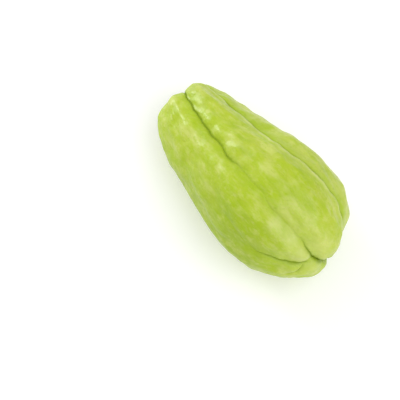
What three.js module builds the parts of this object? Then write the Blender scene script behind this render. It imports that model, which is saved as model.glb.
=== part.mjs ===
// A chayote squash, picked and lying on its side on a table. Millimetres, +Z up.
// The fruit is one solid. +X runs along it from the stem end to the blossom end, +Z is up, and the
// origin is on the table under the middle of its bounding box.
//
// The shape is made as the fruit grows: a smooth pear-shaped blank, with long furrows pressed into it.
// A place on the blank is given by a station and an angle. Stations count the profile's points from the
// stem pole, at 0, to the blossom pole, at 13. Angles turn about the fruit's axis, in degrees from
// straight up (+Z) towards +Y.

import * as THREE from "three";

// ---- Driving dimensions -------------------------------------------------------------------------------

const HALF_WIDTH = 39.6; // of the belly, across the fruit
const STEM_REACH = 74; // from the belly's datum to the rim of the stem end
const BLOSSOM_REACH = 68; // from the belly's datum to the blossom pole
const THICKNESS_SHARE = 0.9; // the fruit's thickness as a share of its width
const CONTACT_DEPTH = 0.7; // how much the rind is flattened where it rests on the table

// The blank, station by station: how far along, as a share of the reach towards that end; how far out,
// as a share of the belly's half width; and how far the section's middle lies to the side (+Y), and
// down, in millimetres. The neck sinks until its underside meets the table.
const BLANK = [
  [-0.946, 0, 3.6, 10.6],
  [-0.995, 0.162, 3.4, 10.6],
  [-1, 0.352, 2.9, 10.5],
  [-0.932, 0.535, 2.0, 10.3],
  [-0.77, 0.66, 0.8, 9.9],
  [-0.514, 0.762, -0.5, 7.6],
  [-0.243, 0.846, -0.8, 3.8],
  [0, 0.94, -0.5, 0.6],
  [0.267, 1, 0.2, 0],
  [0.519, 0.955, 0.7, 0],
  [0.735, 0.788, 0.9, 0],
  [0.9, 0.528, 0.7, 0],
  [0.985, 0.26, 0.4, 0],
  [1, 0, 0.3, 0],
];
const LAST_STATION = BLANK.length - 1;

// ---- Furrows ------------------------------------------------------------------------------------------

// Each furrow has a wide soft valley and, where its two lobes press together, a narrow cleft. A knot of
// its route is [station, angle, depth of the cleft, depth of the valley].
const FURROWS = {
  top: {
    cleftReach: 4.5,
    valleyReach: 12,
    route: [
      [0.6, 10, 1.6, 1.2],
      [2.4, 4, 2.6, 2.0],
      [3.6, -2, 2.6, 2.2],
      [4.8, -8, 1.8, 1.9],
      [6.2, -13, 1.1, 1.7],
      [7.3, -14, 0.8, 1.8],
      [8.6, -18, 0.7, 1.9],
      [10, -19, 1.1, 2.3],
      [10.6, -23, 2.0, 2.6],
      [11.1, -28, 3.2, 2.8],
    ],
  },
  right: {
    cleftReach: 4.5,
    valleyReach: 14,
    route: [
      [0.6, 68, 1.6, 1.5],
      [2.4, 66, 2.4, 2.6],
      [3.4, 58, 2.6, 3.0],
      [4.2, 52, 2.6, 3.2],
      [5.3, 45, 2.4, 3.2],
      [6.2, 39, 2.2, 3.0],
      [7, 37, 2.0, 2.8],
      [8.4, 40, 1.8, 2.6],
      [9.2, 45, 1.8, 2.6],
      [9.9, 51, 2.0, 2.8],
      [10.5, 62, 2.2, 3.0],
      [10.95, 82, 2.0, 3.0],
      [11.15, 104, 1.6, 2.8],
      [11.2, 124, 1.4, 2.4],
    ],
  },
  left: {
    cleftReach: 4.5,
    valleyReach: 12,
    route: [
      [0.8, -40, 0.8, 0.8],
      [3, -38, 0.7, 0.9],
      [4.6, -42, 0.1, 0.7],
      [7.4, -55, 0, 1.2],
      [8.6, -60, 0.4, 1.7],
      [9.5, -62, 1.0, 2.1],
      [10.2, -58, 1.6, 2.4],
      [10.8, -53, 2.0, 2.5],
      [11.2, -45, 2.6, 2.6],
    ],
  },
  farSide: {
    cleftReach: 5,
    valleyReach: 14,
    route: [
      [0.6, 130, 1.4, 1.4],
      [2.6, 131, 1.9, 2.3],
      [5, 122, 1.0, 2.4],
      [8, 112, 0.5, 2.0],
      [9.4, 118, 1.2, 2.2],
      [10.2, 132, 2.0, 2.5],
      [10.9, 148, 3.0, 2.6],
    ],
  },
  underside: {
    cleftReach: 5,
    valleyReach: 13,
    route: [
      [0.6, 200, 1.4, 1.3],
      [2.6, 198, 1.8, 1.8],
      [5, 189, 0.8, 1.6],
      [7, 183, 0.2, 1.6],
      [9.2, 179, 1.0, 2.2],
      [10.1, 174, 2.0, 2.4],
      [10.9, 162, 3.2, 2.8],
    ],
  },
  nearSide: {
    cleftReach: 4.5,
    valleyReach: 12,
    route: [
      [0.8, 262, 0.8, 0.9],
      [2.6, 261, 1.1, 1.4],
      [5, 253, 0.2, 1.0],
      [7.5, 244, 0.1, 0.9],
      [9.2, 243, 0.8, 1.5],
      [10.4, 247, 1.5, 2.0],
      [11.5, 254, 0.2, 0.8],
    ],
  },
  // A broad hollow that ends the right lobe short of the others.
  rightLobeEnd: {
    cleftReach: 1,
    valleyReach: 20,
    route: [
      [10.2, 84, 0, 0.4],
      [10.9, 88, 0, 2.4],
      [11.6, 94, 0, 3.2],
      [12.3, 100, 0, 2.0],
    ],
  },
  // The mouth, from which the seed sprouts, is a slit across the blossom end. Its upper half starts
  // where the top and left furrows meet, and its lower half ends where the two under the fruit meet.
  mouthAbove: {
    cleftReach: 5,
    valleyReach: 11,
    route: [
      [11.2, -29, 3.4, 2.2],
      [12, -29, 4.2, 2.2],
      [13, -29, 4.6, 2.0],
    ],
  },
  mouthBelow: {
    cleftReach: 5,
    valleyReach: 11,
    route: [
      [13, 151, 4.6, 2.0],
      [12, 151, 4.2, 2.2],
      [10.9, 153, 3.4, 2.4],
    ],
  },
};

// The lines of edges that the mesh has along the long furrows, in turning order, with the number of
// columns of faces from each to the next. A line leaves its furrow at the station given, and goes on to the
// blossom pole through the places given. Two of them go on along the mouth.
const COMBED = [
  { furrow: "left", columns: 9, leaves: 10.4, onward: [[11.3, -48], [13, -56]] },
  { furrow: "top", columns: 10, leaves: 12.9, onward: [[13, -29]] },
  { furrow: "right", columns: 14, leaves: 10.3, onward: [[11.2, 64], [13, 58]] },
  { furrow: "farSide", columns: 12, leaves: 10.6, onward: [[11.5, 138], [13, 130]] },
  { furrow: "underside", columns: 10, leaves: 10.8, onward: [[11.4, 152], [13, 151]] },
  { furrow: "nearSide", columns: 11, leaves: 11.4, onward: [[13, 256]] },
];
const COMB_FROM = 1; // the lines run straight to the stem pole from here
const COMB_CROWDING = 0.5; // from 0, evenly spaced columns, towards 1, crowded at the furrows
// Rings of faces, as [from station, to station, rings]: close together where the lobes end.
const RINGS = [
  [0, 3, 12],
  [3, 9.4, 15],
  [9.4, 12.4, 22],
  [12.4, 13, 3],
];
const STEPS_PER_KNOT = 12; // samples between two knots of a furrow's route

// ---- Curves -------------------------------------------------------------------------------------------

// A smooth curve through rows of numbers, as three.js's SplineCurve is, but for rows of any length.
function along(rows, t) {
  const last = rows.length - 1;
  const at = THREE.MathUtils.clamp(t, 0, last);
  const i = Math.min(Math.floor(at), last - 1);
  const f = at - i;
  const before = rows[Math.max(i - 1, 0)];
  const after = rows[Math.min(i + 2, last)];
  return rows[i].map((a, k) => {
    const b = rows[i + 1][k];
    const leaving = (b - before[k]) / 2;
    const arriving = (after[k] - a) / 2;
    const cubic = 2 * a - 2 * b + leaving + arriving;
    const square = -3 * a + 3 * b - 2 * leaving - arriving;
    return ((cubic * f + square) * f + leaving) * f + a;
  });
}

function blankPoint(station, degrees) {
  const [share, out, aside, down] = along(BLANK, station);
  const radius = Math.max(out, 0) * HALF_WIDTH;
  const angle = THREE.MathUtils.degToRad(degrees);
  return new THREE.Vector3(
    share * (share < 0 ? STEM_REACH : BLOSSOM_REACH),
    aside + radius * Math.sin(angle),
    radius * Math.cos(angle) * THICKNESS_SHARE - down,
  );
}

// The blank's outward direction at a place, from two short steps along it.
function blankNormal(station, degrees) {
  const step = 0.02;
  const inside = THREE.MathUtils.clamp(station, step, LAST_STATION - step);
  const forward = blankPoint(inside + step, degrees).sub(blankPoint(inside - step, degrees));
  const turning = blankPoint(inside, degrees + 1).sub(blankPoint(inside, degrees - 1));
  return forward.cross(turning).normalize();
}

// ---- Pressing the furrows -----------------------------------------------------------------------------

// A cleft's section is two round cheeks that touch: it falls ever more steeply towards its middle.
const cleftShape = (q) => (q < 1 ? 1 - Math.sqrt(1 - (1 - q) ** 2) : 0);
const valleyShape = (q) => (q < 1 ? (1 - q * q) ** 2 : 0);

class Furrow {
  constructor({ cleftReach, valleyReach, route }) {
    this.cleftReach = cleftReach;
    this.valleyReach = valleyReach;
    const steps = (route.length - 1) * STEPS_PER_KNOT;
    this.places = Array.from({ length: steps + 1 }, (_, i) => along(route, i / STEPS_PER_KNOT));
    this.points = this.places.map(([station, degrees]) => blankPoint(station, degrees));
  }

  // How deep this furrow presses the blank at a point.
  depthsAt(point) {
    const segment = new THREE.Line3();
    const foot = new THREE.Vector3();
    let nearest = { distance: Infinity };
    for (let i = 0; i + 1 < this.points.length; i++) {
      segment.set(this.points[i], this.points[i + 1]);
      const share = segment.closestPointToPointParameter(point, true);
      const distance = segment.at(share, foot).distanceTo(point);
      if (distance < nearest.distance) nearest = { distance, i, share };
    }
    const [here, next] = [this.places[nearest.i], this.places[nearest.i + 1]];
    const depth = (k) => Math.max(THREE.MathUtils.lerp(here[k], next[k], nearest.share), 0);
    return {
      cleft: depth(2) * cleftShape(nearest.distance / this.cleftReach),
      valley: depth(3) * valleyShape(nearest.distance / this.valleyReach),
    };
  }
}

const furrows = Object.fromEntries(
  Object.entries(FURROWS).map(([name, description]) => [name, new Furrow(description)]),
);

// The rind's point at a place: the blank's, pushed in by the furrows. Where furrows meet, the deepest
// cleft counts, and the valleys flow together.
function rindPoint(station, degrees) {
  const point = blankPoint(station, degrees);
  const depths = Object.values(furrows).map((furrow) => furrow.depthsAt(point));
  const cleft = Math.max(...depths.map((d) => d.cleft));
  const valley = Math.cbrt(depths.reduce((sum, d) => sum + d.valley ** 3, 0));
  return point.addScaledVector(blankNormal(station, degrees), -(cleft + valley));
}

// ---- The mesh -----------------------------------------------------------------------------------------

// The station of each ring, from the stem pole to the blossom pole.
const ringStations = [
  ...RINGS.flatMap(([from, to, rings]) =>
    Array.from({ length: rings }, (_, i) => THREE.MathUtils.lerp(from, to, i / rings)),
  ),
  LAST_STATION,
];

const combLines = COMBED.map(({ furrow, leaves, onward }) => [
  ...furrows[furrow].places.filter(([station]) => station < leaves),
  ...onward,
]);

// The angle at which a line of places crosses a station.
function angleAt(places, station) {
  const i = Math.max(places.findIndex(([s]) => s >= station), 1);
  const [before, after] = [places[i - 1], places[i]];
  const share = (station - before[0]) / (after[0] - before[0]);
  return THREE.MathUtils.lerp(before[1], after[1], share);
}

// The angles of a ring's columns: one on each combed line, and the rest shared out between them.
function columnAngles(station) {
  const starts = combLines.map((places) => angleAt(places, Math.max(station, COMB_FROM)));
  const ends = [...starts.slice(1), starts[0] + 360];
  const angles = COMBED.flatMap(({ columns }, k) =>
    Array.from({ length: columns }, (_, i) => {
      const even = i / columns;
      const crowded = even - (COMB_CROWDING * Math.sin(2 * Math.PI * even)) / (2 * Math.PI);
      return THREE.MathUtils.lerp(starts[k], ends[k], crowded);
    }),
  );
  return [...angles, angles[0] + 360];
}

// A lathed blank gives the closed grid of faces, and each of its vertices then goes to its own place.
// The lathe turns a profile from the blossom pole to the stem pole, so that the faces look outward.
function fruitGeometry() {
  const stations = ringStations.toReversed();
  const profile = stations.map((station) => {
    const { x, z } = blankPoint(station, 0);
    return new THREE.Vector2(Math.max(z, 0), x);
  });
  const columns = COMBED.reduce((sum, line) => sum + line.columns, 0);
  const geometry = new THREE.LatheGeometry(profile, columns);
  const position = geometry.getAttribute("position");
  stations.forEach((station, ring) => {
    const atPole = ring === 0 || ring === stations.length - 1;
    columnAngles(station).forEach((degrees, column) => {
      const point = rindPoint(station, atPole ? 0 : degrees);
      position.setXYZ(column * stations.length + ring, ...point);
    });
  });
  return geometry;
}

// Sets the fruit down: its lowest places are flattened on the table, and it is centred over the origin.
function settle(geometry) {
  geometry.computeBoundingBox();
  const { min, max } = geometry.boundingBox;
  const table = min.z + CONTACT_DEPTH;
  const position = geometry.getAttribute("position");
  for (let i = 0; i < position.count; i++) {
    position.setXYZ(
      i,
      position.getX(i) - (min.x + max.x) / 2,
      position.getY(i) - (min.y + max.y) / 2,
      Math.max(position.getZ(i) - table, 0),
    );
  }
  geometry.computeVertexNormals();
  return geometry;
}

const rind = new THREE.MeshStandardMaterial({ color: 0xb4d14a, roughness: 0.4, metalness: 0 });
const fruit = new THREE.Mesh(settle(fruitGeometry()), rind);
fruit.name = "fruit";

const chayote = new THREE.Group();
chayote.add(fruit);

export default chayote;
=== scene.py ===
"""A chayote squash lying on its side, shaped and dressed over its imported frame.

Metres, +Z up. +X runs along the fruit from its stem end to its blossom end, and the table is at z = 0.

A place on the fruit is given by a station and an angle. Stations count the points of the blank's outline
from the stem pole, at 0, to the blossom pole, at 13. Angles turn about the fruit's axis, in degrees from
straight up (+Z) towards +Y.
"""

import logging
import math
from dataclasses import dataclass, field
from enum import Enum
from typing import Any, NamedTuple

import bmesh
import bpy
import numpy as np
from mathutils import Matrix, Vector, noise


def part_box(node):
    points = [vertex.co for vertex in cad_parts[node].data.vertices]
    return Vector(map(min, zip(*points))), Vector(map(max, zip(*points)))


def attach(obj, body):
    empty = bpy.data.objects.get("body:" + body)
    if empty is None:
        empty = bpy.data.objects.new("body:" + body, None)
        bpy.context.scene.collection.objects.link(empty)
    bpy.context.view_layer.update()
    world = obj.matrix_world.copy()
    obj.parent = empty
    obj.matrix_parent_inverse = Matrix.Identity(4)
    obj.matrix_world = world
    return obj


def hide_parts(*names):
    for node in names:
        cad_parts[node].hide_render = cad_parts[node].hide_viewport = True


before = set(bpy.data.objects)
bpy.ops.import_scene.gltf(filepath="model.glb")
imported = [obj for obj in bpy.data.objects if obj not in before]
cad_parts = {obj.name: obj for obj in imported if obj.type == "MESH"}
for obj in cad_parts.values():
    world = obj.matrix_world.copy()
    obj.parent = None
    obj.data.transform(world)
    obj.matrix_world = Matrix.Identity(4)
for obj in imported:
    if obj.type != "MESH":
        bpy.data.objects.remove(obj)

LOG = logging.getLogger("chayote")
MM = 0.001  # a millimetre, in the scene's metres
HAIR = 0.01 * MM  # places nearer to each other than this are taken as the same

Colour = tuple[float, float, float]


# ---- Curves over the fruit ------------------------------------------------------------------------------


def along(rows: np.ndarray, places: np.ndarray) -> np.ndarray:
    """Follow a smooth curve through rows of numbers.

    Args:
        rows: One row of numbers for each point that the curve runs through.
        places: Where to read the curve, counted in rows from 0.

    Returns:
        A row of numbers for each place.
    """
    last = len(rows) - 1
    at = np.clip(np.asarray(places, float), 0, last)
    start = np.minimum(at.astype(int), last - 1)
    share = (at - start)[..., None]
    before, here = rows[np.maximum(start - 1, 0)], rows[start]
    there, after = rows[start + 1], rows[np.minimum(start + 2, last)]
    leaving, arriving = (there - before) / 2, (after - here) / 2
    cubic = 2 * here - 2 * there + leaving + arriving
    square = -3 * here + 3 * there - 2 * leaving - arriving
    return ((cubic * share + square) * share + leaving) * share + here


def rise(values: np.ndarray, low: float, high: float) -> np.ndarray:
    """Rise smoothly from 0 to 1.

    Args:
        values: The values to measure.
        low: The value that gives 0.
        high: The value that gives 1.

    Returns:
        A number from 0 to 1 for each value.
    """
    share = np.clip((values - low) / (high - low), 0, 1)
    return share * share * (3 - 2 * share)


class Span(NamedTuple):
    """A stretch of depths or distances, in millimetres."""

    low: float
    high: float

    @property
    def metres(self) -> tuple[float, float]:
        """Both ends in metres."""
        return self.low * MM, self.high * MM

    def rise(self, values: np.ndarray) -> np.ndarray:
        """Rise smoothly from 0 to 1 over this stretch, for values in metres."""
        return rise(values, *self.metres)


class Section(NamedTuple):
    """One station of the blank."""

    along: float  # as a share of the reach towards that end of the fruit
    out: float  # as a share of the belly's half width
    aside: float  # how far the section's middle lies towards +Y, in millimetres
    down: float  # and how far down, in millimetres


@dataclass(frozen=True)
class Blank:
    """The smooth pear shape of the fruit before its furrows are pressed, with the belly's middle at 0."""

    half_width: float = 39.6 * MM
    stem_reach: float = 74 * MM
    blossom_reach: float = 68 * MM
    thickness_share: float = 0.9
    sections: tuple[Section, ...] = (
        Section(-0.946, 0, 3.6, 10.6),
        Section(-0.995, 0.162, 3.4, 10.6),
        Section(-1, 0.352, 2.9, 10.5),
        Section(-0.932, 0.535, 2.0, 10.3),
        Section(-0.77, 0.66, 0.8, 9.9),
        Section(-0.514, 0.762, -0.5, 7.6),
        Section(-0.243, 0.846, -0.8, 3.8),
        Section(0, 0.94, -0.5, 0.6),
        Section(0.267, 1, 0.2, 0),
        Section(0.519, 0.955, 0.7, 0),
        Section(0.735, 0.788, 0.9, 0),
        Section(0.9, 0.528, 0.7, 0),
        Section(0.985, 0.26, 0.4, 0),
        Section(1, 0, 0.3, 0),
    )

    @property
    def last_station(self) -> int:
        """The blossom pole's station."""
        return len(self.sections) - 1

    def middles(self, stations: np.ndarray) -> tuple[np.ndarray, np.ndarray]:
        """Give the middles and radii of sections.

        Args:
            stations: The sections' stations.

        Returns:
            The sections' middles, as points, and their radii across the fruit.
        """
        share, out, aside, down = np.moveaxis(along(np.array(self.sections), stations), -1, 0)
        x = share * np.where(share < 0, self.stem_reach, self.blossom_reach)
        return np.stack([x, aside * MM, -down * MM], -1), np.maximum(out, 0) * self.half_width

    def points(self, stations: np.ndarray, angles: np.ndarray) -> np.ndarray:
        """Give the blank's points at places.

        Args:
            stations: The places' stations.
            angles: The places' angles.

        Returns:
            The points, as rows of x, y and z.
        """
        middles, radii = self.middles(stations)
        turn = np.radians(angles)
        height = np.cos(turn) * self.thickness_share
        return middles + radii[..., None] * np.stack([0 * turn, np.sin(turn), height], -1)


# ---- What is pressed into the blank ---------------------------------------------------------------------


class Knot(NamedTuple):
    """A point of a furrow's route, with the depths there in millimetres."""

    station: float
    angle: float
    cleft: float
    valley: float


def nearest(line: np.ndarray, values: np.ndarray, points: np.ndarray) -> tuple[np.ndarray, np.ndarray]:
    """Find the nearest part of a line to each point.

    Args:
        line: The line's own points.
        values: A row of numbers for each of those.
        points: The points to measure from.

    Returns:
        The distance from each point to the line, and the numbers there.
    """
    distance = np.full(len(points), np.inf)
    found = np.zeros((len(points), values.shape[1]))
    for start, end, first, last in zip(line, line[1:], values, values[1:], strict=False):
        step = end - start
        share = np.clip((points - start) @ step / (step @ step), 0, 1)[:, None]
        gap = np.linalg.norm(points - start - share * step, axis=1)
        closer = gap < distance
        distance[closer] = gap[closer]
        found[closer] = (first + share * (last - first))[closer]
    return distance, found


@dataclass(frozen=True)
class Furrow:
    """A line where the rind sinks: a wide soft valley, with a narrow cleft where two lobes touch."""

    cleft_reach: float  # millimetres from the line to where its cleft ends
    valley_reach: float  # millimetres from the line to where its valley ends
    route: tuple[Knot, ...]
    steps: int = 12  # samples between two knots
    waver: float = 3.5  # degrees by which the line strays from its route
    slow_turns: float = 1.7  # how many times in a station it strays to and fro
    quick_turns: float = 4.3  # and how many times it does so a little
    quick_share: float = 0.4  # of the waver

    def places(self) -> np.ndarray:
        """Sample the route.

        Returns:
            Rows of station, angle, cleft and valley.
        """
        count = (len(self.route) - 1) * self.steps
        places = along(np.array(self.route), np.arange(count + 1) / self.steps)
        places[:, 1] += self.waver * np.array([self._stray(row[0]) for row in places])
        return places

    def _stray(self, station: float) -> float:
        """Find how far the line strays from its route.

        Args:
            station: Where to look.

        Returns:
            How far it strays, as a share of its waver.
        """
        first = self.route[0].angle
        slow = noise.noise((self.slow_turns * station, first, 0))
        quick = noise.noise((self.quick_turns * station, first, 9))
        return slow + self.quick_share * quick

    def press(self, blank: Blank, points: np.ndarray) -> tuple[np.ndarray, np.ndarray]:
        """Measure how deep this furrow presses the blank.

        Args:
            blank: The blank that the route lies on.
            points: Points of the blank's surface.

        Returns:
            At each point, the depth of the cleft and that of the valley.
        """
        places = self.places()
        line = blank.points(places[:, 0], places[:, 1])
        depths = np.maximum(places[:, 2:], 0) * MM
        reach = max(self.cleft_reach, self.valley_reach) * MM
        near = ((points > line.min(0) - reach) & (points < line.max(0) + reach)).all(1)
        distance, depth = nearest(line, depths, points[near])
        into_cleft = np.clip(distance / (self.cleft_reach * MM), 0, 1)
        into_valley = np.clip(distance / (self.valley_reach * MM), 0, 1)
        cleft, valley = np.zeros((2, len(points)))
        cleft[near] = depth[:, 0] * (1 - np.sqrt(1 - (1 - into_cleft) ** 2))
        valley[near] = depth[:, 1] * (1 - into_valley**2) ** 2
        return cleft, valley


@dataclass(frozen=True)
class Rim:
    """A raised edge of a lobe, along one side of a furrow, with a painted highlight: pale colour laid along
    it.
    """

    furrow: Furrow
    aside: float  # degrees from the furrow's line to the rim
    reach: float  # millimetres from the rim to where it ends
    height: float  # millimetres
    pale: float  # how pale its painted highlight is, from 0 to 1
    mean: float = 0.9  # how much of it there is on average, from 0 to 1
    unevenness: float = 0.9  # how far that goes up and down along it
    turns: float = 2.3  # how many times it does so in a station
    whole: tuple[float, float] = (0.15, 0.8)  # where it is whole: from and to, as shares of its line

    def share(self, blank: Blank, points: np.ndarray) -> np.ndarray:
        """Give how much of the rim there is.

        Args:
            blank: The blank that the furrow lies on.
            points: Points of the blank's surface.

        Returns:
            How much of it there is at each point, from 0 to 1 or a little above.
        """
        places = self.furrow.places()
        line = blank.points(places[:, 0], places[:, 1] + self.aside)
        run = np.linspace(0, 1, len(line))
        wave = np.array([noise.noise((self.turns * row[0], self.aside, 0)) for row in places])
        grown, fading = self.whole
        there = (self.mean + self.unevenness * wave) * rise(run, 0, grown) * (1 - rise(run, fading, 1))
        distance, found = nearest(line, there[:, None], points)
        return found[:, 0] * (1 - np.clip(distance / (self.reach * MM), 0, 1) ** 2) ** 2


@dataclass(frozen=True)
class Swelling:
    """A soft round rise of the rind, or with a height below 0 a hollow. Sizes are in millimetres."""

    station: float
    angle: float
    reach: float
    height: float

    def lift(self, blank: Blank, points: np.ndarray) -> np.ndarray:
        """Give the height of this swelling.

        Args:
            blank: The blank that it lies on.
            points: Points of the blank's surface.

        Returns:
            The height at each point, in metres.
        """
        centre = blank.points(np.array(self.station), np.array(self.angle))
        share = np.clip(np.linalg.norm(points - centre, axis=1) / (self.reach * MM), 0, 1)
        return self.height * MM * (1 - share**2) ** 2


@dataclass(frozen=True)
class Grain:
    """Unevenness of the rind: smooth noise, with sizes in millimetres."""

    length: float  # of a bump along the fruit
    width: float  # of a bump across it
    height: float
    seed: float

    def lift(self, points: np.ndarray) -> np.ndarray:
        """Give the height of this unevenness.

        Args:
            points: Points of the rind.

        Returns:
            The height at each point, in metres.
        """
        scale = 1 / (np.array([self.length, self.width, self.width]) * MM)
        shifted = points * scale + self.seed
        return self.height * MM * np.array([noise.noise(Vector(p)) for p in shifted])


TOP = Furrow(
    4.5,
    12,
    (
        Knot(0.6, 10, 1.6, 1.2),
        Knot(2.4, 4, 2.6, 2.0),
        Knot(3.6, -2, 2.6, 2.2),
        Knot(4.8, -8, 2.4, 1.9),
        Knot(6.2, -13, 1.8, 1.7),
        Knot(7.3, -14, 1.1, 1.8),
        Knot(8.6, -18, 0.8, 1.9),
        Knot(10, -19, 1.1, 2.3),
        Knot(10.6, -23, 2.0, 2.6),
        Knot(11.1, -28, 3.2, 2.8),
    ),
)
TOP_END = Furrow(TOP.cleft_reach, TOP.valley_reach, TOP.route[6:])
RIGHT = Furrow(
    4.5,
    14,
    (
        Knot(0.6, 68, 1.6, 1.5),
        Knot(2.4, 66, 2.4, 2.6),
        Knot(3.4, 58, 2.6, 3.0),
        Knot(4.2, 52, 2.6, 3.2),
        Knot(5.3, 45, 2.4, 3.2),
        Knot(6.2, 39, 2.2, 3.0),
        Knot(7, 37, 2.0, 2.8),
        Knot(8.4, 40, 1.8, 2.6),
        Knot(9.2, 45, 1.8, 2.6),
        Knot(9.9, 51, 2.0, 2.8),
        Knot(10.5, 62, 2.2, 3.0),
        Knot(10.95, 82, 2.0, 3.0),
        Knot(11.15, 104, 1.6, 2.8),
        Knot(11.2, 124, 1.4, 2.4),
    ),
)
LEFT = Furrow(
    4.5,
    12,
    (
        Knot(0.8, -40, 0.8, 0.8),
        Knot(3, -38, 0.7, 0.9),
        Knot(4.6, -42, 0.1, 0.7),
        Knot(7.4, -55, 0, 1.2),
        Knot(8.6, -60, 0.5, 1.7),
        Knot(9.5, -62, 1.5, 2.1),
        Knot(10.2, -58, 2.3, 2.4),
        Knot(10.8, -53, 2.7, 2.5),
        Knot(11.2, -45, 2.6, 2.6),
    ),
)
FAR_SIDE = Furrow(
    5,
    14,
    (
        Knot(0.6, 130, 1.4, 1.4),
        Knot(2.6, 131, 1.9, 2.3),
        Knot(5, 122, 1.0, 2.4),
        Knot(8, 112, 0.5, 2.0),
        Knot(9.4, 118, 1.2, 2.2),
        Knot(10.2, 132, 2.0, 2.5),
        Knot(10.9, 148, 3.0, 2.6),
    ),
)
UNDERSIDE = Furrow(
    5,
    13,
    (
        Knot(0.6, 200, 1.4, 1.3),
        Knot(2.6, 198, 1.8, 1.8),
        Knot(5, 189, 0.8, 1.6),
        Knot(7, 183, 0.2, 1.6),
        Knot(9.2, 179, 1.0, 2.2),
        Knot(10.1, 174, 2.0, 2.4),
        Knot(10.9, 162, 3.2, 2.8),
    ),
)
NEAR_SIDE = Furrow(
    4.5,
    12,
    (
        Knot(0.8, 262, 0.8, 0.9),
        Knot(2.6, 261, 1.1, 1.4),
        Knot(5, 253, 0.2, 1.0),
        Knot(7.5, 244, 0.1, 0.9),
        Knot(9.2, 243, 0.8, 1.5),
        Knot(10.4, 247, 1.5, 2.0),
        Knot(11.5, 254, 0.2, 0.8),
    ),
)
# The mouth, from which the seed sprouts, is a slit across the blossom end.
MOUTH_ABOVE = Furrow(
    5,
    11,
    (
        Knot(11.2, -29, 3.4, 2.2),
        Knot(12, -29, 4.2, 2.2),
        Knot(13, -29, 4.6, 2.0),
    ),
)
MOUTH_BELOW = Furrow(
    5,
    11,
    (
        Knot(13, 151, 4.6, 2.0),
        Knot(12, 151, 4.2, 2.2),
        Knot(10.9, 153, 3.4, 2.4),
    ),
)
# The fold of the lower lip, under the end of the left furrow.
LIP = Furrow(
    3,
    7,
    (
        Knot(10, -80, 0, 0.1),
        Knot(10.5, -82, 0.7, 0.8),
        Knot(11, -70, 1.6, 1.4),
        Knot(11.15, -52, 1.5, 1.0),
    ),
)
# Shallow wrinkles of the stem end's shoulders, beside the top furrow.
WRINKLES = (
    Furrow(
        2.5,
        6,
        (
            Knot(2.8, -20, 0.1, 0.5),
            Knot(3.8, -34, 0.3, 1.1),
            Knot(4.6, -41, 0.2, 0.8),
            Knot(5.8, -45, 0, 0.3),
        ),
    ),
    Furrow(
        2.5,
        6,
        (
            Knot(3, -44, 0.1, 0.4),
            Knot(4, -56, 0.2, 0.9),
            Knot(5.2, -63, 0.1, 0.6),
            Knot(6.4, -68, 0, 0.2),
        ),
    ),
    Furrow(2.5, 6, (Knot(3.4, 14, 0, 0.3), Knot(4.4, 14, 0.1, 0.8), Knot(5.2, 14, 0, 0.4))),
)
# Small healed nicks on the broad end, each a couple of millimetres long.
NICKS = (
    Furrow(1.4, 2.5, (Knot(8.8, 29, 0.7, 0.3), Knot(8.95, 26, 0.7, 0.3)), waver=0),
    Furrow(1.4, 2.5, (Knot(9.85, 28, 0.9, 0.3), Knot(10.05, 26, 0.9, 0.3)), waver=0),
    Furrow(1.4, 2.5, (Knot(10, 34, 0.7, 0.3), Knot(10.2, 33, 0.7, 0.3)), waver=0),
)


# ---- The fruit ------------------------------------------------------------------------------------------


class CombLine(NamedTuple):
    """A line of edges that runs along a long furrow."""

    furrow: Furrow
    columns: int  # of faces from this line to the next
    leaves: float  # the station at which it leaves the furrow
    onward: tuple[tuple[float, float], ...]  # places from there to the blossom pole

    def places(self) -> np.ndarray:
        """Give the line's places, as rows of station and angle."""
        followed = self.furrow.places()[:, :2]
        return np.vstack([followed[followed[:, 0] < self.leaves], self.onward])


class Mark(Enum):
    """A measure of the rind that its finish reads from the mesh."""

    SUNK = "sunk"  # how deep the rind lies in its valleys, from 0 to 1
    CREASE = "crease"  # 1 at the bottom of a cleft
    RIM = "rim"  # how pale the highlight painted on a lobe's raised edge is, from 0 to 1
    SCAR = "scar"  # 1 where the stem was attached
    MOUTH = "mouth"  # 1 at the mouth, falling to 0 around it


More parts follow.
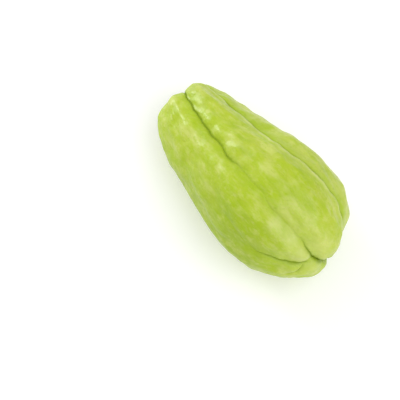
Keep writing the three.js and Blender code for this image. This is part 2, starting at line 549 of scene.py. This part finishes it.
@dataclass
class Fruit:
    """The whole squash: six long lobes between furrows, a mouth at one end and a stem scar at the other."""

    name: str = "chayote"
    node: str = "fruit"
    slot: str = "rind"
    blank: Blank = field(default_factory=Blank)
    comb: tuple[CombLine, ...] = (
        CombLine(LEFT, 12, 10.4, ((11.3, -48), (13, -56))),
        CombLine(TOP, 14, 12.9, ((13, -29),)),
        CombLine(RIGHT, 18, 10.3, ((11.2, 64), (13, 58))),
        CombLine(FAR_SIDE, 16, 10.6, ((11.5, 138), (13, 130))),
        CombLine(UNDERSIDE, 14, 10.8, ((11.4, 152), (13, 151))),
        CombLine(NEAR_SIDE, 14, 11.4, ((13, 256),)),
    )
    short_furrows: tuple[Furrow, ...] = (MOUTH_ABOVE, MOUTH_BELOW, LIP, *WRINKLES, *NICKS)
    rims: tuple[Rim, ...] = (
        Rim(RIGHT, -5.5, 3, 0.3, 0.6),
        Rim(TOP_END, -10, 8, 0.5, 0.5),
        Rim(TOP_END, 12, 9, 0.3, 0.3),
    )
    swellings: tuple[Swelling, ...] = (
        Swelling(0, 0, 4.2, 2.2),
        Swelling(0, 0, 2, -1.4),
        Swelling(10.85, -33, 8, 2.2),
        Swelling(4.6, -31, 7, 0.8),
        Swelling(4.8, 2, 7, 0.9),
        Swelling(11.5, 92, 20, -3),
    )
    grains: tuple[Grain, ...] = (
        Grain(46, 11, 0.9, 3.1),
        Grain(15, 9, 1.0, 8.4),
        Grain(8, 5, 0.65, 12.7),
    )
    rings: int = 66
    subdivisions: int = 2
    comb_from: float = 1.0  # the combed lines run straight to the stem pole from this station
    crowding: float = 0.5  # of columns at the furrows, from 0, even, towards 1
    mouth_corner: tuple[float, float] = (11.2, -29)  # its station and angle
    calm: float = 0.8  # the share of the grain that a cleft takes away
    calmed: Span = Span(0.3, 1.5)  # depths of a cleft that does so
    sunken: Span = Span(0.5, 5)  # depths of a furrow that is marked as sunk
    creased: Span = Span(0.3, 2)  # depths of a cleft that is marked as a crease
    scarred: Span = Span(1.6, 4.8)  # distances from the stem pole over which the scar ends
    mouthed: Span = Span(4, 26)  # distances from the mouth's corner over which its mark ends
    contact_depth: float = 0.7 * MM  # how much the rind is flattened where it rests

    def build(self) -> bpy.types.Object:
        """Model the fruit.

        Returns:
            The finished piece, lying on the table where its CAD node lies.
        """
        piece = self._add_ball()
        self._comb_columns(piece)
        self._shape_rings(piece)
        self._subdivide(piece)
        self._press(piece)
        self._settle(piece)
        piece.data.polygons.foreach_set("use_smooth", [True] * len(piece.data.polygons))
        return piece

    def _add_ball(self) -> bpy.types.Object:
        """Add the sphere that the fruit is shaped from.

        Returns:
            The sphere, with its poles on the fruit's axis.
        """
        bpy.ops.object.select_all(action="DESELECT")
        bpy.ops.mesh.primitive_uv_sphere_add(
            segments=self._columns(),
            ring_count=self.rings,
            radius=self.blank.stem_reach,
            rotation=(0, math.pi / 2, 0),
        )
        bpy.ops.object.transform_apply(location=True, rotation=True, scale=True)
        piece = bpy.context.object
        piece.name = piece.data.name = self.name
        return piece

    def _columns(self) -> int:
        """Count the columns of faces round the rough shape."""
        return sum(line.columns for line in self.comb)

    def _stations(self) -> np.ndarray:
        """Give the station of each ring of the rough shape, the poles included."""
        return np.linspace(0, self.blank.last_station, self.rings + 1)

    def _ball_rings(self) -> np.ndarray:
        """Give where the sphere's rings stand along it, the poles included."""
        return -self.blank.stem_reach * np.cos(np.linspace(0, math.pi, self.rings + 1))

    def _comb_columns(self, piece: bpy.types.Object) -> None:
        """Slide the sphere's vertices round their rings, so that edges run along the long furrows.

        Args:
            piece: The sphere.
        """
        points = read_points(piece.data)
        ring = np.abs(points[:, :1] - self._ball_rings()).argmin(1)
        turn = np.degrees(np.arctan2(points[:, 1], points[:, 2]))
        column = np.rint(turn / 360 * self._columns()).astype(int) % self._columns()
        angles = np.radians([self._column_angles(station) for station in self._stations()])
        angle = angles[ring, column]
        radius = np.hypot(points[:, 1], points[:, 2])
        points[:, 1], points[:, 2] = radius * np.sin(angle), radius * np.cos(angle)
        write_points(piece.data, points)

    def _column_angles(self, station: float) -> np.ndarray:
        """Give the angles of a ring's columns.

        Args:
            station: The ring's station.

        Returns:
            The angles in degrees, from the top furrow's line round.
        """
        at = max(station, self.comb_from)
        starts = [float(np.interp(at, *line.places().T)) for line in self.comb]
        angles: list[float] = []
        for line, start, end in zip(self.comb, starts, [*starts[1:], starts[0] + 360], strict=True):
            even = np.arange(line.columns) / line.columns
            crowded = even - self.crowding * np.sin(2 * math.pi * even) / (2 * math.pi)
            angles.extend(start + (end - start) * crowded)
        return np.roll(angles, -self.comb[0].columns)

    def _shape_rings(self, piece: bpy.types.Object) -> None:
        """Resize and move the sphere's rings, one by one, to the blank's sections.

        Args:
            piece: The sphere, with its columns combed.
        """
        middles, radii = self.blank.middles(self._stations())
        bpy.ops.object.mode_set(mode="EDIT")
        for x, middle, radius in zip(self._ball_rings(), middles, radii, strict=True):
            self._select_ring(piece, x)
            was = math.sqrt(max(self.blank.stem_reach**2 - x**2, 0))
            wider = radius / was if radius else 1
            bpy.ops.transform.resize(
                value=(1, wider, wider * self.blank.thickness_share), center_override=(x, 0, 0)
            )
            bpy.ops.transform.translate(value=(middle[0] - x, middle[1], middle[2]))
            bpy.ops.mesh.hide()
        bpy.ops.mesh.reveal(select=False)
        bpy.ops.object.mode_set(mode="OBJECT")

    def _select_ring(self, piece: bpy.types.Object, x: float) -> None:
        """Select what isn't shaped yet of one of the sphere's rings, in edit mode.

        Args:
            piece: The sphere, partly shaped.
            x: Where the ring stood along the sphere.
        """
        bpy.ops.mesh.select_all(action="DESELECT")
        mesh = bmesh.from_edit_mesh(piece.data)
        for vertex in mesh.verts:
            if not vertex.hide:
                vertex.select_set(abs(vertex.co.x - x) < HAIR)
        bmesh.update_edit_mesh(piece.data)

    def _subdivide(self, piece: bpy.types.Object) -> None:
        """Make the rough shape smooth, and fine enough to press the furrows into.

        Args:
            piece: The rough shape.
        """
        smoother = piece.modifiers.new("smooth", "SUBSURF")
        smoother.levels = smoother.render_levels = self.subdivisions
        bpy.ops.object.modifier_apply(modifier=smoother.name)

    def _press(self, piece: bpy.types.Object) -> None:
        """Press the furrows into the rind, raise its bumps, and mark where each of them is.

        Args:
            piece: The smooth blank.
        """
        points, normals = read_points(piece.data), read_normals(piece.data)
        cleft, valley = self._depths(points)
        lift, pale = self._bumps(points, cleft)
        mark(piece.data, Mark.SUNK, self.sunken.rise(cleft + valley))
        mark(piece.data, Mark.CREASE, self.creased.rise(cleft))
        mark(piece.data, Mark.RIM, pale)
        self._mark_ends(piece, points)
        write_points(piece.data, points + normals * (lift - cleft - valley)[:, None])

    def _depths(self, points: np.ndarray) -> tuple[np.ndarray, np.ndarray]:
        """Measure how deep all the furrows press the blank.

        Args:
            points: Points of the blank's surface.

        Returns:
            At each point, the depth of the clefts and that of the valleys.
        """
        cleft, valley = np.zeros((2, len(points)))
        for furrow in [line.furrow for line in self.comb] + list(self.short_furrows):
            narrow, wide = furrow.press(self.blank, points)
            cleft = np.maximum(cleft, narrow)
            valley += wide**3
        return cleft, np.cbrt(valley)

    def _bumps(self, points: np.ndarray, cleft: np.ndarray) -> tuple[np.ndarray, np.ndarray]:
        """Measure the swellings, the rims and the grain.

        Args:
            points: Points of the blank's surface.
            cleft: The depth of the clefts at each of them.

        Returns:
            At each point, the height of the bumps and how pale a rim's painted highlight makes it.
        """
        lift = sum(swelling.lift(self.blank, points) for swelling in self.swellings)
        pale = np.zeros(len(points))
        for rim in self.rims:
            share = rim.share(self.blank, points)
            lift += rim.height * MM * share
            pale = np.maximum(pale, rim.pale * share)
        left = 1 - self.calm * self.calmed.rise(cleft)
        return lift + left * sum(grain.lift(points) for grain in self.grains), pale

    def _mark_ends(self, piece: bpy.types.Object, points: np.ndarray) -> None:
        """Mark the stem scar and the mouth.

        Args:
            piece: The fruit.
            points: Its vertices, as they lay on the blank.
        """
        station, angle = self.mouth_corner
        stem_pole, corner = self.blank.points(np.array([0, station]), np.array([0, angle]))
        from_stem = np.linalg.norm(points - stem_pole, axis=1)
        from_mouth = np.linalg.norm(points - corner, axis=1)
        mark(piece.data, Mark.SCAR, 1 - self.scarred.rise(from_stem))
        mark(piece.data, Mark.MOUTH, 1 - self.mouthed.rise(from_mouth))

    def _settle(self, piece: bpy.types.Object) -> None:
        """Lay the fruit on the table in its CAD node's place, flattened where it rests.

        Args:
            piece: The fruit.
        """
        low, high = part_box(self.node)
        points = read_points(piece.data)
        middle = (points.min(0) + points.max(0)) / 2
        points[:, :2] += np.array((low + high) / 2)[:2] - middle[:2]
        points[:, 2] -= points[:, 2].min() + self.contact_depth
        points[:, 2] = np.maximum(points[:, 2], 0) + low.z
        write_points(piece.data, points)


def read_points(mesh: bpy.types.Mesh) -> np.ndarray:
    """Read where a mesh's vertices are.

    Args:
        mesh: The mesh.

    Returns:
        A row of x, y and z for each vertex.
    """
    values = np.zeros(len(mesh.vertices) * 3)
    mesh.vertices.foreach_get("co", values)
    return values.reshape(-1, 3)


def read_normals(mesh: bpy.types.Mesh) -> np.ndarray:
    """Read the directions in which a mesh's surface faces at its vertices.

    Args:
        mesh: The mesh.

    Returns:
        A row of x, y and z for each vertex.
    """
    values = np.zeros(len(mesh.vertices) * 3)
    mesh.vertices.foreach_get("normal", values)
    return values.reshape(-1, 3)


def write_points(mesh: bpy.types.Mesh, points: np.ndarray) -> None:
    """Move a mesh's vertices to points."""
    mesh.vertices.foreach_set("co", points.ravel())
    mesh.update()


def mark(mesh: bpy.types.Mesh, name: Mark, values: np.ndarray) -> None:
    """Keep a number for each vertex of a mesh, for its finish to read."""
    attribute = mesh.attributes.new(name.value, "FLOAT", "POINT")
    attribute.data.foreach_set("value", values.astype(np.float32))


# ---- Shader maths ---------------------------------------------------------------------------------------


class Pattern(NamedTuple):
    """Soft patches over the rind: smooth noise, with sizes in millimetres."""

    length: float  # of a patch along the fruit
    width: float  # of a patch across it
    detail: float  # how many finer layers there are
    rough: float  # how strong the finer layers are
    turned: float  # how far the pattern is moved, to make one noise unlike another
    share: float = 1.0  # how strong its patches are
    low: float = 0.0  # the noise at which a patch begins
    high: float = 1.0  # the noise from which it is full


@dataclass(frozen=True)
class Amount:
    """A number that varies over a surface: a shader socket that Python's operators work on."""

    nodes: "Nodes"
    socket: bpy.types.NodeSocket

    def _with(self, operation: str, first: "Amount | float", second: "Amount | float") -> "Amount":
        """Add a Math node for an operation on two values."""
        return self.nodes.add("Math", {"operation": operation}, {0: first, 1: second}).amount()

    def __add__(self, other: "Amount | float") -> "Amount":
        """Add."""
        return self._with("ADD", self, other)

    def __radd__(self, other: float) -> "Amount":
        """Add to a number."""
        return self._with("ADD", other, self)

    def __sub__(self, other: "Amount | float") -> "Amount":
        """Subtract."""
        return self._with("SUBTRACT", self, other)

    def __rsub__(self, other: float) -> "Amount":
        """Subtract from a number."""
        return self._with("SUBTRACT", other, self)

    def __mul__(self, other: "Amount | float") -> "Amount":
        """Multiply."""
        return self._with("MULTIPLY", self, other)

    def __rmul__(self, other: float) -> "Amount":
        """Multiply a number."""
        return self._with("MULTIPLY", other, self)

    def ramp(self, low: float, high: float) -> "Amount":
        """Rise smoothly from 0 to 1 with this amount.

        Args:
            low: The amount that gives 0.
            high: The amount that gives 1.

        Returns:
            The risen amount.
        """
        settings = {"interpolation_type": "SMOOTHSTEP"}
        values = {"Value": self, "From Min": low, "From Max": high}
        return self.nodes.add("MapRange", settings, values).amount("Result")


@dataclass(frozen=True)
class Added:
    """A node that was just added."""

    nodes: "Nodes"
    node: bpy.types.Node

    def socket(self, name: str | int = 0) -> bpy.types.NodeSocket:
        """Give an output."""
        return self.node.outputs[name]

    def amount(self, name: str | int = 0) -> Amount:
        """Give an output that is a number, to do maths on."""
        return Amount(self.nodes, self.node.outputs[name])


class Nodes:
    """The node tree of one material."""

    def __init__(self, material: bpy.types.Material) -> None:
        """Start an empty tree.

        Args:
            material: The material to start it in.
        """
        material.use_nodes = True
        self.tree = material.node_tree
        self.tree.nodes.clear()

    def add(
        self,
        kind: str,
        settings: dict[str, Any] | None = None,
        values: dict[str | int, Any] | None = None,
    ) -> Added:
        """Add a node.

        Args:
            kind: The node's type, without its ShaderNode prefix.
            settings: The node's own properties, which are set first.
            values: What goes into its sockets: numbers, colours, amounts or other nodes' outputs.

        Returns:
            The node.
        """
        node = self.tree.nodes.new("ShaderNode" + kind)
        for name, setting in (settings or {}).items():
            setattr(node, name, setting)
        for name, value in (values or {}).items():
            if isinstance(value, Amount):
                value = value.socket
            if isinstance(value, bpy.types.NodeSocket):
                self.tree.links.new(value, node.inputs[name])
            else:
                node.inputs[name].default_value = value
        return Added(self, node)

    def blend(
        self, share: Amount | float, first: Colour | bpy.types.NodeSocket, second: Colour
    ) -> bpy.types.NodeSocket:
        """Mix two colours.

        Args:
            share: How much of the second there is, from 0 to 1.
            first: The colour where the share is 0.
            second: The colour where it is 1.

        Returns:
            The mixed colour.
        """
        first = (*first, 1) if isinstance(first, tuple) else first
        values = {"Factor": share, 6: first, 7: (*second, 1)}
        return self.add("Mix", {"data_type": "RGBA"}, values).socket(2)

    def mark(self, name: Mark) -> Amount:
        """Read a measure that the mesh keeps."""
        return self.add("Attribute", {"attribute_name": name.value}).amount("Fac")

    def noise(self, pattern: Pattern) -> Amount:
        """Make smooth noise over the object.

        Args:
            pattern: The sizes of its patches.

        Returns:
            The noise, from 0 to 1.
        """
        place = self.add("TexCoord").socket("Object")
        turned = (pattern.turned,) * 3
        across = 1 / (pattern.width * MM)
        scale = (1 / (pattern.length * MM), across, across)
        moved = self.add("Mapping", {}, {"Vector": place, "Location": turned, "Scale": scale}).socket()
        grain = {"Vector": moved, "Scale": 1.0, "Detail": pattern.detail, "Roughness": pattern.rough}
        return self.add("TexNoise", {}, grain).amount("Fac")

    def patches(self, pattern: Pattern) -> Amount:
        """Make a pattern's patches, from 0 between them to its share within them."""
        return pattern.share * self.noise(pattern).ramp(pattern.low, pattern.high)


# ---- Finishes -------------------------------------------------------------------------------------------


@dataclass(frozen=True)
class RindFinish:
    """Thin waxy rind: mottled yellow-green, paler on its crowns, with painted shade that makes its furrows
    and clefts deeper green, a painted highlight along its lobes' raised edges, and one side painted lighter
    and the other darker.
    """

    name: str = "waxy rind"
    body: Colour = (0.46, 0.57, 0.034)
    fresh: Colour = (0.40, 0.555, 0.004)
    pale: Colour = (0.61, 0.67, 0.165)
    # deep green of the random specks and patches, and of the painted shade in the valleys
    deep: Colour = (0.31, 0.46, 0.008)
    # the dark green of the painted shade at the bottom of the clefts
    crease: Colour = (0.24, 0.34, 0.006)
    # the pale colour of the highlight painted along the lobes' raised edges
    edge: Colour = (0.69, 0.74, 0.26)
    # the green of the painted shade on the -Y side
    shade: Colour = (0.30, 0.46, 0.004)
    cork: Colour = (0.40, 0.33, 0.13)
    dry: Colour = (0.15, 0.10, 0.045)
    patches: Pattern = Pattern(34, 17, 2, 0.5, 1.7, 0.6, 0.42, 0.64)
    mottles: Pattern = Pattern(9, 6.5, 3, 0.6, 17.9, 0.6, 0.4, 0.64)
    streaks: Pattern = Pattern(19, 8, 3, 0.6, 5.2, 0.7, 0.48, 0.7)
    dapples: Pattern = Pattern(7, 4, 3, 0.65, 41.7, 0.4, 0.5, 0.68)
    flecks: Pattern = Pattern(6, 2, 3, 0.6, 9.4, 0.3, 0.45, 0.75)
    specks: Pattern = Pattern(2.4, 1.7, 2, 0.5, 26.3, 0.35, 0.6, 0.74)
    shades: Pattern = Pattern(20, 9, 2, 0.5, 13.8, 0.45, 0.5, 0.78)
    worn: Pattern = Pattern(12, 8, 3, 0.6, 21.3, 0.12, 0.3, 0.7)  # places with less gloss
    ripples: Pattern = Pattern(5, 3.2, 3, 0.55, 2.9)
    pores: Pattern = Pattern(1.1, 0.9, 2, 0.5, 31.1, 0.12)
    relief: float = 0.75 * MM  # the height of the ripples and pores
    painted_light_side: Span = Span(12, 36)  # across the fruit, where painted light makes it paler towards +Y
    painted_light_share: float = 0.6
    painted_shade_side: Span = Span(-38, -14)  # across the fruit, where painted shade makes it greener towards -Y
    painted_shade_share: float = 0.55
    mouth_share: float = 0.5
    sunk_share: float = 0.45
    rim_share: float = 0.7
    crease_share: float = 0.8
    corky: tuple[float, float] = (0.2, 0.7)  # the scar's mark where the cork begins, and is whole
    cork_share: float = 0.9
    dried: tuple[float, float] = (0.8, 1)  # the same for its dry middle
    dry_share: float = 0.7
    roughness: float = 0.44
    crease_roughness: float = 0.2  # added in the clefts
    scar_roughness: float = 0.3  # added on the scar
    bending: float = 1.33  # of light, by the rind: its index of refraction
    wax: float = 0.28
    wax_roughness: float = 0.24
    glow: float = 0.12  # how much light passes through the flesh under the rind
    glow_depth: float = 3 * MM
    glow_tint: Colour = (0.7, 1.0, 0.25)  # how far each colour of it passes, as a share of that

    def make(self) -> bpy.types.Material:
        """Make the material.

        Returns:
            The material.
        """
        material = bpy.data.materials.new(self.name)
        nodes = Nodes(material)
        values = {
            "Base Color": self._colour(nodes),
            "Roughness": self._roughness(nodes),
            "Normal": self._surface(nodes),
            "IOR": self.bending,
            "Subsurface Weight": self.glow,
            "Subsurface Radius": self.glow_tint,
            "Subsurface Scale": self.glow_depth,
            "Coat Weight": self.wax,
            "Coat Roughness": self.wax_roughness,
        }
        shader = nodes.add("BsdfPrincipled", {"subsurface_method": "RANDOM_WALK"}, values)
        nodes.add("OutputMaterial", {}, {"Surface": shader.socket("BSDF")})
        return material

    def _colour(self, nodes: Nodes) -> bpy.types.NodeSocket:
        """Colour the rind: its mottling, then its mouth, the painted shade of its furrows and clefts, the
        painted highlight of its rims, and its scar.

        Args:
            nodes: The material's nodes.

        Returns:
            The colour.
        """
        flecks, sunk, scar = nodes.patches(self.flecks), nodes.mark(Mark.SUNK), nodes.mark(Mark.SCAR)
        colour = self._mottled(nodes, flecks, sunk)
        colour = nodes.blend(self.mouth_share * nodes.mark(Mark.MOUTH), colour, self.pale)
        # Painted shade: deeper green where the rind lies in its valleys.
        colour = nodes.blend(self.sunk_share * sunk, colour, self.deep)
        # Painted highlight: pale colour along the lobes' raised edges.
        colour = nodes.blend((self.rim_share + flecks) * nodes.mark(Mark.RIM), colour, self.edge)
        # Painted shade: darkest at the bottom of the clefts.
        colour = nodes.blend(self.crease_share * nodes.mark(Mark.CREASE), colour, self.crease)
        colour = nodes.blend(self.cork_share * (scar - flecks).ramp(*self.corky), colour, self.cork)
        return nodes.blend(self.dry_share * scar.ramp(*self.dried), colour, self.dry)

    def _mottled(self, nodes: Nodes, flecks: Amount, sunk: Amount) -> bpy.types.NodeSocket:
        """Mottle the rind, with painted light making one side paler and painted shade making the other
        greener.

        Args:
            nodes: The material's nodes.
            flecks: The fine pale flecks.
            sunk: How deep the rind lies in its valleys.

        Returns:
            The mottled colour.
        """
        place = nodes.add("TexCoord").socket("Object")
        across = nodes.add("SeparateXYZ", {}, {"Vector": place}).amount("Y")
        painted_shade_side, painted_light_side = 1 - across.ramp(*self.painted_shade_side.metres), across.ramp(*self.painted_light_side.metres)
        colour = nodes.blend(nodes.patches(self.patches), self.body, self.fresh)
        # Painted light: paler towards +Y.
        colour = nodes.blend(self.painted_light_share * painted_light_side, colour, self.pale)
        colour = nodes.blend(nodes.patches(self.mottles), colour, self.fresh)
        colour = nodes.blend(nodes.patches(self.streaks) * (1 - sunk), colour, self.pale)
        # Painted shade: greener towards -Y.
        colour = nodes.blend(self.painted_shade_share * painted_shade_side, colour, self.shade)
        colour = nodes.blend(nodes.patches(self.dapples) * (1 - sunk), colour, self.pale)
        colour = nodes.blend(flecks, colour, self.pale)
        colour = nodes.blend(nodes.patches(self.specks), colour, self.deep)
        return nodes.blend(nodes.patches(self.shades), colour, self.deep)

    def _roughness(self, nodes: Nodes) -> Amount:
        """Vary the gloss, duller in the furrows and on the scar.

        Args:
            nodes: The material's nodes.

        Returns:
            The roughness.
        """
        crease = self.crease_roughness * nodes.mark(Mark.CREASE)
        scar = self.scar_roughness * nodes.mark(Mark.SCAR)
        return self.roughness + nodes.patches(self.worn) + crease + scar

    def _surface(self, nodes: Nodes) -> bpy.types.NodeSocket:
        """Raise the rind's fine unevenness and its pores.

        Args:
            nodes: The material's nodes.

        Returns:
            The direction in which the surface faces.
        """
        height = nodes.noise(self.ripples) + self.pores.share * nodes.noise(self.pores)
        values = {"Strength": 1.0, "Distance": self.relief, "Height": height}
        return nodes.add("Bump", {}, values).socket("Normal")


@dataclass(frozen=True)
class TableFinish:
    """Plain white matt table."""

    name: str = "white table"
    colour: Colour = (0.93, 0.93, 0.94)
    roughness: float = 0.5
    glow: float = 0.13  # of its own light, which keeps the fruit's shadow faint
    glow_colour: Colour = (1, 0.98, 1)

    def make(self) -> bpy.types.Material:
        """Make the material.

        Returns:
            The material.
        """
        material = bpy.data.materials.new(self.name)
        nodes = Nodes(material)
        values = {
            "Base Color": (*self.colour, 1),
            "Roughness": self.roughness,
            "Emission Color": (*self.glow_colour, 1),
            "Emission Strength": self.glow,
        }
        shader = nodes.add("BsdfPrincipled", {}, values)
        nodes.add("OutputMaterial", {}, {"Surface": shader.socket("BSDF")})
        return material


# ---- The studio -----------------------------------------------------------------------------------------


class Side(NamedTuple):
    """A direction seen from the fruit: azimuth 0 looks along +Y, and elevation is above the table."""

    azimuth: float
    elevation: float

    def towards(self) -> Vector:
        """Point to this side.

        Returns:
            The unit vector from the fruit to whatever stands there.
        """
        turn, tilt = math.radians(self.azimuth), math.radians(self.elevation)
        level = math.cos(tilt)
        return Vector((math.sin(turn) * level, -math.cos(turn) * level, math.sin(tilt)))

    def facing(self, place: Vector) -> Matrix:
        """Stand something on this side, looking back at the fruit, with its top up.

        Args:
            place: Where it stands.

        Returns:
            Its place and turn.
        """
        back = self.towards()
        right = Vector((0, 0, 1)).cross(back).normalized()
        turned = Matrix((right, back.cross(right), back)).transposed().to_4x4()
        return Matrix.Translation(place) @ turned


@dataclass(frozen=True)
class Lamp:
    """A soft square light."""

    name: str
    side: Side
    distance: float
    width: float
    power: float


@dataclass
class Studio:
    """The table, the lights and the camera."""

    table_size: float = 8.0
    table_gap: float = 0.05 * MM  # which keeps the table from touching the fruit
    sky: float = 0.55
    lamps: tuple[Lamp, ...] = (
        Lamp("main", Side(95, 58), 1.2, 1.3, 9),
        Lamp("glint", Side(-84, 20), 0.8, 0.25, 2.8),
    )
    view: Side = Side(51, 70)
    distance: float = 2 / 3
    lens: float = 100.0  # millimetres
    look_at_height: float = 0.031
    fruit_aside: float = 0.0295  # how far the fruit stands right of the picture's middle
    fruit_above: float = 0.013  # and above it

    def build(self) -> None:
        """Set up the studio around the fruit."""
        self._lay_table()
        self._light()
        self._stand_camera()

    def _lay_table(self) -> None:
        """Lay a plain table just under the fruit."""
        bpy.ops.object.select_all(action="DESELECT")
        bpy.ops.mesh.primitive_plane_add(size=self.table_size, location=(0, 0, -self.table_gap))
        bpy.ops.object.transform_apply(location=True, rotation=True, scale=True)
        table = bpy.context.object
        table.name = table.data.name = "table"
        table.data.materials.append(TableFinish().make())

    def _light(self) -> None:
        """Hang the lamps, in a white room."""
        world = bpy.data.worlds.new("white room")
        world.use_nodes = True
        background = world.node_tree.nodes["Background"].inputs
        background["Color"].default_value = (1, 1, 1, 1)
        background["Strength"].default_value = self.sky
        bpy.context.scene.world = world
        for lamp in self.lamps:
            light = bpy.data.lights.new(lamp.name, "AREA")
            light.shape = "SQUARE"
            light.size = lamp.width
            light.energy = lamp.power
            hung = bpy.data.objects.new(lamp.name, light)
            hung.visible_camera = False
            hung.matrix_world = lamp.side.facing(lamp.side.towards() * lamp.distance)
            bpy.context.scene.collection.objects.link(hung)

    def _stand_camera(self) -> None:
        """Stand the camera above the fruit's blossom end, looking down on it."""
        data = bpy.data.cameras.new("camera")
        data.lens = self.lens
        camera = bpy.data.objects.new("camera", data)
        turned = self.view.facing(Vector())
        right, above = Vector(turned.col[0][:3]), Vector(turned.col[1][:3])
        place = Vector((0, 0, self.look_at_height)) + self.view.towards() * self.distance
        place -= right * self.fruit_aside + above * self.fruit_above
        camera.matrix_world = self.view.facing(place)
        bpy.context.scene.collection.objects.link(camera)
        bpy.context.scene.camera = camera
        bpy.context.scene.view_settings.view_transform = "Standard"


# ---- The scene ------------------------------------------------------------------------------------------


def place_in_frame(fruit: Fruit, piece: bpy.types.Object) -> None:
    """Attach the fruit's piece to the root body, and hide the CAD node that it stands in for.

    Args:
        fruit: The fruit that the piece belongs to.
        piece: The piece.
    """
    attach(piece, "root")
    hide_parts(fruit.node)
    faces = len(piece.data.polygons)
    size = ", ".join(f"{1000 * side:.1f}" for side in piece.dimensions)
    LOG.info("%s: %d faces, %s mm", piece.name, faces, size)


def main() -> None:
    """Build the fruit and its studio."""
    logging.basicConfig(level=logging.INFO, format="%(message)s")
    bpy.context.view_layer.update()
    fruit = Fruit()
    piece = fruit.build()
    piece.data.materials.append(RindFinish().make())
    place_in_frame(fruit, piece)
    Studio().build()


if __name__ == "__main__":
    main()
